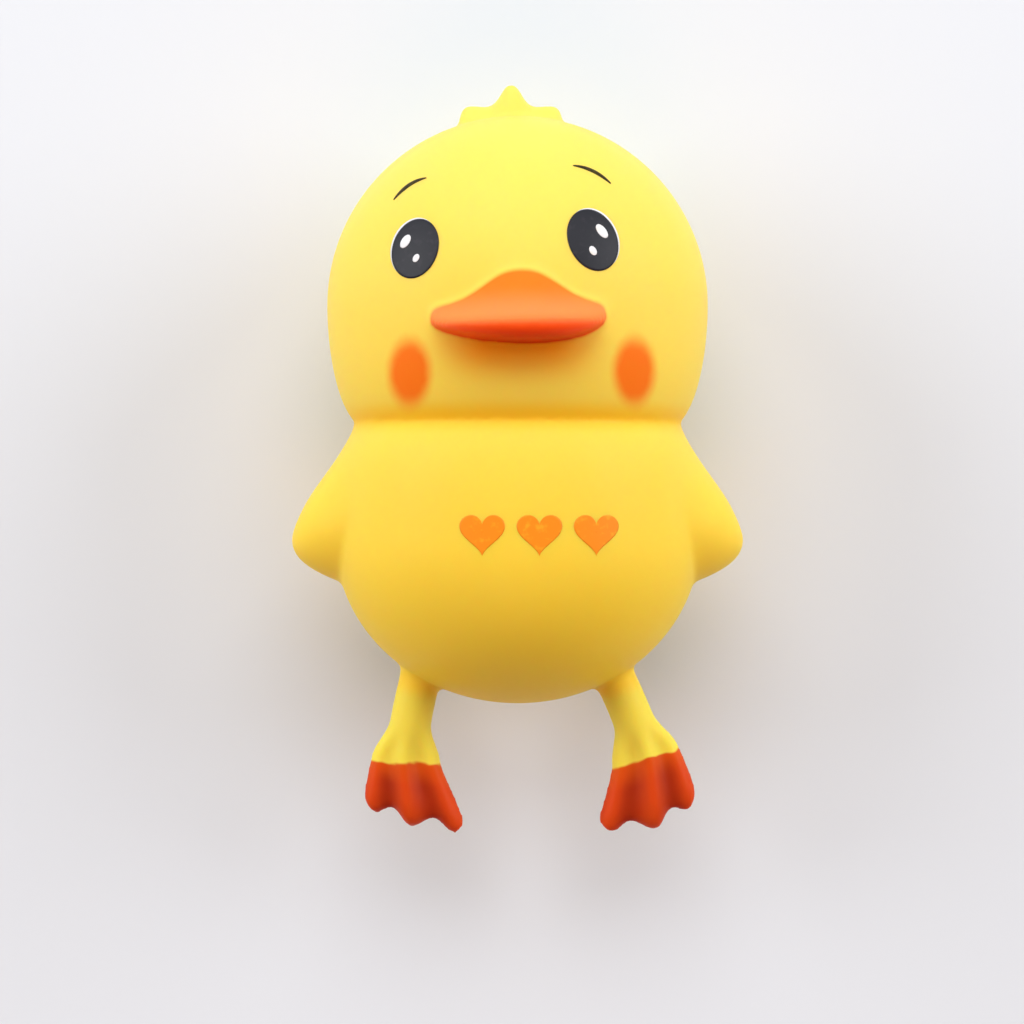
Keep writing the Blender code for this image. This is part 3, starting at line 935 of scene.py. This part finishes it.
def build_skin_material():
    material, tree, place = new_material("sprayed_yellow_rubber")
    rubber = place_group(
        tree, soft_rubber, Place=place, Roughness=SKIN_ROUGHNESS, Wander=SKIN_WANDER,
    )
    colour = yellow_with_painted_light(tree, place, rubber["Tone"])
    colour = spray_cheeks(tree, place, colour)
    colour = spray_beak_and_painted_light(tree, colour)
    colour = spray_feet_and_groove_shade(tree, place, colour)
    shader = rubber_surface(tree, colour, rubber, SKIN_BUMP, SKIN_SPECULAR)
    shader.inputs["Subsurface Weight"].default_value = SCATTER_SHARE
    shader.inputs["Subsurface Radius"].default_value = SCATTER_RADIUS
    shader.inputs["Subsurface Scale"].default_value = SCATTER_SCALE
    return material


def show_piece(name, mesh, material):
    piece = bpy.data.objects.new(name, mesh)
    bpy.context.scene.collection.objects.link(piece)
    mesh.materials.clear()
    mesh.materials.append(material)
    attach(piece, "root")
    return piece


skin = show_piece("duck_skin", skin_mesh, build_skin_material())
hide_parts("duck_toy")
print("skin has", len(skin_mesh.polygons), "faces")

# %% [markdown]
# ## Printing on a round face
#
# Eyes, brows and the row on the belly are pad printed: thin ink that follows the rubber. Each
# is a small flat grid, rolled or bent into its outline, and every point is then dropped onto
# the skin by a ray and lifted by the thickness of the ink. A solidify modifier closes it.

# %% Print a film of ink
INK_LIFT, INK_THICKNESS = 0.00004, 0.00008
GRID_HALF, RAY_HEIGHT = 0.5, 1.0

skin_surface = BVHTree.FromPolygons(
    [vert.co for vert in skin_mesh.vertices], [face.vertices for face in skin_mesh.polygons]
)


def on_skin(x, y, lift):
    start = Vector((x + shift.x, y + shift.y, RAY_HEIGHT))
    place, normal, _, _ = skin_surface.ray_cast(start, Vector((0, 0, -1)))
    return place + normal * lift


def print_film(name, outline, cells, layer, material):
    form = bmesh.new()
    bmesh.ops.create_grid(form, x_segments=cells[0], y_segments=cells[1], size=GRID_HALF)
    for vert in form.verts:
        x, y = outline(vert.co.x + GRID_HALF, vert.co.y + GRID_HALF)
        vert.co = on_skin(x, y, layer * INK_LIFT)
    bmesh.ops.remove_doubles(form, verts=form.verts, dist=MERGE_DISTANCE)
    bmesh.ops.recalc_face_normals(form, faces=form.faces)
    if sum(face.normal.z for face in form.faces) < 0:
        bmesh.ops.reverse_faces(form, faces=form.faces)
    mesh = bpy.data.meshes.new(name)
    form.to_mesh(mesh)
    form.free()
    mesh.shade_smooth()
    piece = show_piece(name, mesh, material)
    close = piece.modifiers.new("ink_thickness", "SOLIDIFY")
    close.thickness = INK_THICKNESS * layer
    close.offset = -1.0


print("one film of ink is", 1000 * INK_THICKNESS, "mm thick")

# %% [markdown]
# ## Inks
#
# Four inks were used: a white that shows as a rim of the eyes and as their glints, a charcoal
# with a trace of blue, a dark olive for the brows, and an orange for the belly that is a little
# yellower than the spray. Ink dries a little smoother than rubber, and thin spots let what lies
# below show through.

# %% Inks
INK_WANDER, INK_BUMP, INK_SPECULAR = 0.10, 0.12, 0.20
THIN_SPOTS, THIN_SPOT_RANGE = (900.0, 3.0), (0.52, 0.75)
SMOOTH_INK, DULL_INK = 0.42, 0.50


def build_ink(name, thick, thin, roughness):
    material, tree, place = new_material(name)
    rubber = place_group(
        tree, soft_rubber, Place=place, Roughness=roughness, Wander=INK_WANDER,
    )
    thin_spots = fade(tree, noise(tree, place, *THIN_SPOTS), *THIN_SPOT_RANGE)
    colour = mix_colours(tree, thin_spots, thick, thin)
    rubber_surface(tree, colour, rubber, INK_BUMP, INK_SPECULAR)
    return material


dark_ink = build_ink(
    "charcoal_ink", (0.018, 0.019, 0.026, 1.0), (0.026, 0.025, 0.034, 1.0), SMOOTH_INK,
)
brow_ink = build_ink(
    "brow_ink", (0.030, 0.022, 0.002, 1.0), (0.080, 0.055, 0.004, 1.0), DULL_INK,
)
white_ink = build_ink(
    "white_ink", (0.80, 0.80, 0.82, 1.0), (0.78, 0.76, 0.70, 1.0), SMOOTH_INK,
)
orange_ink = build_ink(
    "orange_ink", (0.92, 0.260, 0.007, 1.0), (0.94, 0.36, 0.014, 1.0), DULL_INK,
)
print("inks", dark_ink.name, brow_ink.name, white_ink.name, orange_ink.name)

# %% [markdown]
# ## Eyes and brows
#
# An eye is three films: a white oval, a dark oval that leaves only its rim on one side, and two
# glints. Ovals are grids rolled into discs. A brow is a narrow grid bent along a curve through
# three points. The two eyes differ in size and lean, so each has its own sizes, and offsets
# count from the middle of the eye.

# %% Eyes and brows
EYES = {
    "left": {
        "centre": (-0.0168, 0.0281), "half": (0.00385, 0.00505), "lean": 15,
        "white_shift": (-0.00022, 0.00022),
        "glints": (
            ((-0.00160, 0.00125), (0.00070, 0.00122), 33),
            ((0.00020, -0.00166), (0.00049, 0.00072), 30),
        ),
        "brow": ((-0.02065, 0.0369), (-0.0181, 0.0393), (-0.01515, 0.04035)),
    },
    "right": {
        "centre": (0.0122, 0.0293), "half": (0.00405, 0.0053), "lean": -21,
        "white_shift": (0.00022, 0.00022),
        "glints": (
            ((0.00150, 0.00150), (0.00070, 0.00134), -38),
            ((0.0, -0.00185), (0.00055, 0.00082), -30),
        ),
        "brow": ((0.0091, 0.0422), (0.0124, 0.0414), (0.0154, 0.0393)),
    },
}
DISC_CELLS, GLINT_CELLS, BROW_CELLS = (14, 72), (5, 32), (32, 3)
BROW_WIDTH, BROW_END_SHARE, BROW_TAPER_CURVE = 0.00064, 0.25, 0.7


def oval_outline(centre, half_width, half_height, lean):
    """Rolls the grid into a disc: u runs outwards and v runs round."""
    cosine, sine = math.cos(math.radians(lean)), math.sin(math.radians(lean))

    def outline(u, v):
        short = half_width * u * math.sin(2 * math.pi * v)
        tall = half_height * u * math.cos(2 * math.pi * v)
        return (centre[0] + short * cosine + tall * sine, centre[1] - short * sine + tall * cosine)

    return outline


def brow_outline(start, middle, end):
    """Bends the grid along a curve through three points, tapered towards both ends."""
    pull = [2 * m - (s + e) / 2 for s, m, e in zip(start, middle, end)]
    axes = list(zip(start, pull, end))

    def outline(u, v):
        point = [(1 - u) ** 2 * s + 2 * u * (1 - u) * c + u ** 2 * e for s, c, e in axes]
        slope = [2 * (1 - u) * (c - s) + 2 * u * (e - c) for s, c, e in axes]
        length = math.hypot(*slope)
        taper = BROW_END_SHARE + (1 - BROW_END_SHARE) * math.sin(math.pi * u) ** BROW_TAPER_CURVE
        off = (v - GRID_HALF) * BROW_WIDTH * taper
        return point[0] - slope[1] / length * off, point[1] + slope[0] / length * off

    return outline


def moved(place, offset):
    return (place[0] + offset[0], place[1] + offset[1])


def print_eye(side, eye):
    centre, half, lean = eye["centre"], eye["half"], eye["lean"]
    white = oval_outline(moved(centre, eye["white_shift"]), *half, lean)
    print_film("eye_white_" + side, white, DISC_CELLS, 1, white_ink)
    print_film("eye_dark_" + side, oval_outline(centre, *half, lean), DISC_CELLS, 2, dark_ink)
    for number, (offset, glint_half, glint_lean) in enumerate(eye["glints"], start=1):
        glint = oval_outline(moved(centre, offset), *glint_half, glint_lean)
        name = "eye_glint_" + side + "_" + str(number)
        print_film(name, glint, GLINT_CELLS, 3, white_ink)
    print_film("brow_" + side, brow_outline(*eye["brow"]), BROW_CELLS, 1, brow_ink)


for side, eye in EYES.items():
    print_eye(side, eye)
print("printed", len(EYES), "eyes")

# %% [markdown]
# ## A row on the belly
#
# A line of small orange shapes is printed across the belly. Here it is a plain row of hearts,
# drawn by the well-known heart curve: one formula for x and one for y, run once round. The
# numbers in it belong to the curve, which is 32 units wide.

# %% Row of hearts
HEART_ROW_CENTRE, HEART_SPACING = (0.0035, -0.0183), 0.0093
HEART_COUNT, HEART_WIDTH, CURVE_WIDTH = 3, 0.0074, 32.0


def heart_outline(centre):
    scale = HEART_WIDTH / CURVE_WIDTH

    def outline(u, v):
        turn = 2 * math.pi * v
        across = 16 * math.sin(turn) ** 3
        up = 13 * math.cos(turn) - 5 * math.cos(2 * turn)
        up = up - 2 * math.cos(3 * turn) - math.cos(4 * turn)
        return centre[0] + scale * u * across, centre[1] + scale * u * up

    return outline


for number in range(HEART_COUNT):
    x = HEART_ROW_CENTRE[0] + (number - (HEART_COUNT - 1) / 2) * HEART_SPACING
    heart = heart_outline((x, HEART_ROW_CENTRE[1]))
    print_film("heart_" + str(number + 1), heart, DISC_CELLS, 1, orange_ink)
print("printed", HEART_COUNT, "hearts")

# %% [markdown]
# ## Camera
#
# The camera stands straight over the toy, at the distance of a close look, so that near parts
# look a little larger than far ones. Its focal length follows from that distance and from how
# many pixels show a metre, and its place puts the neck crease where the picture has it.

# %% Camera
PHOTO_SIDE = 1024
PIXELS_PER_METRE = 5754.0
CAMERA_DISTANCE, CLIP_START = 0.420, 0.01
NECK_PIXEL = (517.5, 425.4)
SENSOR = 0.036

camera_data = bpy.data.cameras.new("camera")
camera_data.sensor_width = 1000 * SENSOR
camera_data.lens = 1000 * SENSOR * CAMERA_DISTANCE * PIXELS_PER_METRE / PHOTO_SIDE
camera_data.clip_start = CLIP_START
camera = bpy.data.objects.new("camera", camera_data)
bpy.context.scene.collection.objects.link(camera)
camera.location = (
    (PHOTO_SIDE / 2 - NECK_PIXEL[0]) / PIXELS_PER_METRE,
    (NECK_PIXEL[1] - PHOTO_SIDE / 2) / PIXELS_PER_METRE + shift.y,
    rest_depth + CAMERA_DISTANCE,
)
bpy.context.scene.camera = camera
print("lens", round(camera_data.lens, 1), "mm")

# %% [markdown]
# ## Floor and lamps
#
# The floor is pale and reaches far beyond the toy. Three large soft lamps stand beyond the
# crest and at both sides, so the brow and the shoulders are bright and the belly falls off. A
# small warm one at the foot end keeps that shade golden. The surroundings give little light,
# but the camera sees them pale.

# %% Floor and lamps
FLOOR_COLOUR, FLOOR_ROUGHNESS, FLOOR_HALF = (0.745, 0.785, 0.845, 1.0), 0.9, 1.6
LAMP_AIM = Vector((0.0, 0.0, 0.03))
WHITE_LIGHT, WARM_LIGHT = (1.0, 1.0, 1.0), (1.0, 0.42, 0.12)
LAMPS = (
    ("key", (0.0, 0.95, 1.05), (1.40, 1.00), 11.5, WHITE_LIGHT),
    ("side", (-1.12, 0.44, 0.62), (1.00, 0.80), 10.4, WHITE_LIGHT),
    ("side", (1.12, 0.44, 0.62), (1.00, 0.80), 10.4, WHITE_LIGHT),
    ("low", (0.0, -0.85, 1.00), (0.80, 0.50), 2.6, WARM_LIGHT),
)
SURROUNDINGS_COLOUR = (0.97, 0.98, 1.0, 1.0)
SURROUNDINGS_SEEN, SURROUNDINGS_LIGHT = 0.70, 0.22


def lay_floor():
    form = bmesh.new()
    bmesh.ops.create_grid(form, x_segments=1, y_segments=1, size=FLOOR_HALF)
    mesh = bpy.data.meshes.new("floor")
    form.to_mesh(mesh)
    form.free()
    paint = bpy.data.materials.new("pale_floor")
    paint.use_nodes = True
    shader = paint.node_tree.nodes["Principled BSDF"]
    shader.inputs["Base Color"].default_value = FLOOR_COLOUR
    shader.inputs["Roughness"].default_value = FLOOR_ROUGHNESS
    mesh.materials.append(paint)
    floor = bpy.data.objects.new("floor", mesh)
    bpy.context.scene.collection.objects.link(floor)


def soft_lamp(name, place, size, power, colour):
    data = bpy.data.lights.new(name, "AREA")
    data.shape = "ELLIPSE"
    data.size, data.size_y = size
    data.energy = power
    data.color = colour
    lamp = bpy.data.objects.new(name, data)
    bpy.context.scene.collection.objects.link(lamp)
    lamp.location = place
    lamp.rotation_euler = (LAMP_AIM - Vector(place)).to_track_quat("-Z", "Y").to_euler()


def light_surroundings():
    world = bpy.data.worlds.new("surroundings")
    world.use_nodes = True
    tree = world.node_tree
    background = tree.nodes["Background"]
    background.inputs["Color"].default_value = SURROUNDINGS_COLOUR
    seen = tree.nodes.new("ShaderNodeLightPath").outputs["Is Camera Ray"]
    strength = math_node(tree, "MULTIPLY_ADD", seen, SURROUNDINGS_SEEN, SURROUNDINGS_LIGHT)
    plug(tree, background.inputs["Strength"], strength)
    bpy.context.scene.world = world


lay_floor()
for lamp in LAMPS:
    soft_lamp(*lamp)
light_surroundings()
bpy.context.scene.view_settings.view_transform = "Standard"
print("lamps", len(LAMPS))
